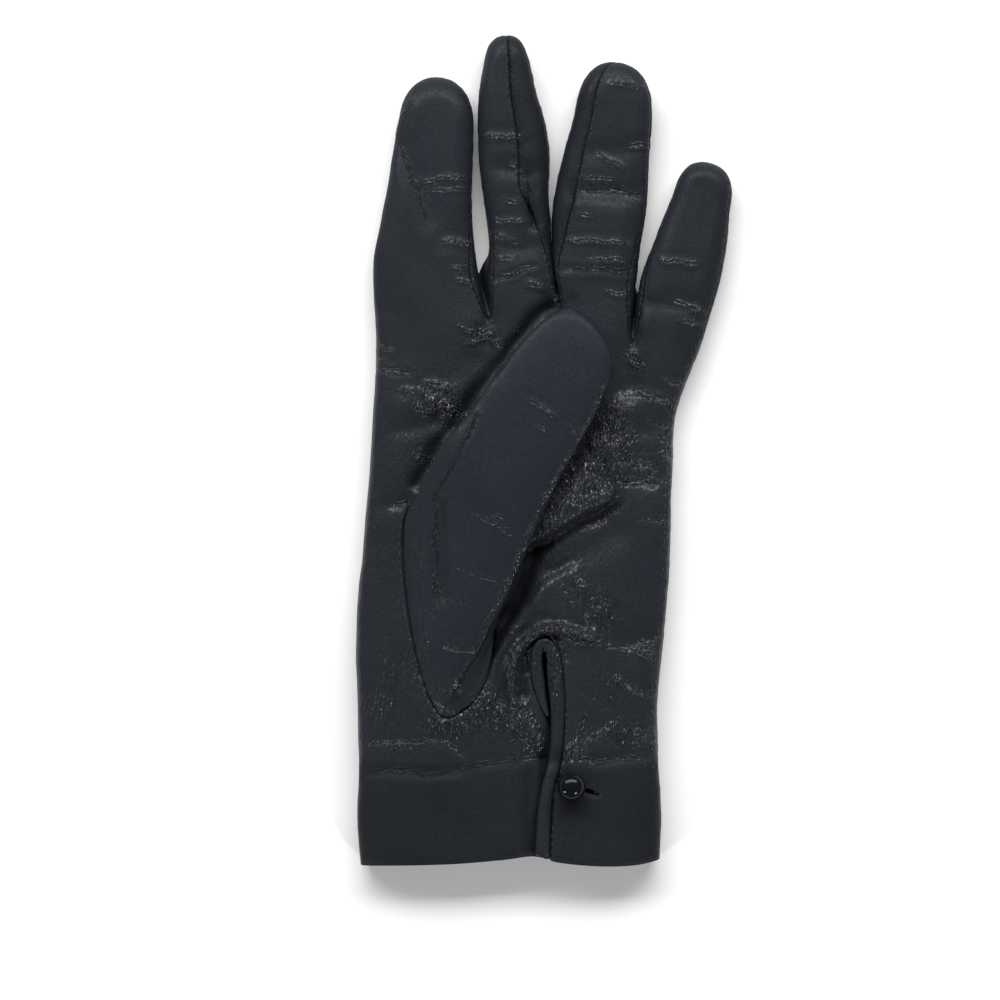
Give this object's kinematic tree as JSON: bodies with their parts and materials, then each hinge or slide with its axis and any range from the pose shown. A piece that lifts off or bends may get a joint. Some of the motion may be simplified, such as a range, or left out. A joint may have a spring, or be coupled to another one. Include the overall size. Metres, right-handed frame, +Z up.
{
  "type": "wrist length dress glove",
  "caption": "Wrist length dress glove of thin dark leather for the left hand, lying flat with the palm up, hollow, with a buttoned vent at the wrist.",
  "frame": {"origin": "on the ground under the middle of the glove's box", "axes": "+Y from the hem to the fingertips, +X to the little finger side, +Z up out of the palm"},
  "size_m": [0.0876, 0.1936, 0.0171],
  "materials": {
    "kid_leather": "soft semi-gloss glace kid, fine grain, worn creases",
    "black_button": "high gloss black ball"
  },
  "bodies": {
    "root": {"trank": "kid_leather", "fourchette_index_middle": "kid_leather", "fourchette_middle_ring": "kid_leather", "fourchette_ring_little": "kid_leather", "thumb": "kid_leather", "vent_binding": "kid_leather", "button_tab": "kid_leather", "button": "black_button"}
  },
  "joints": []
}
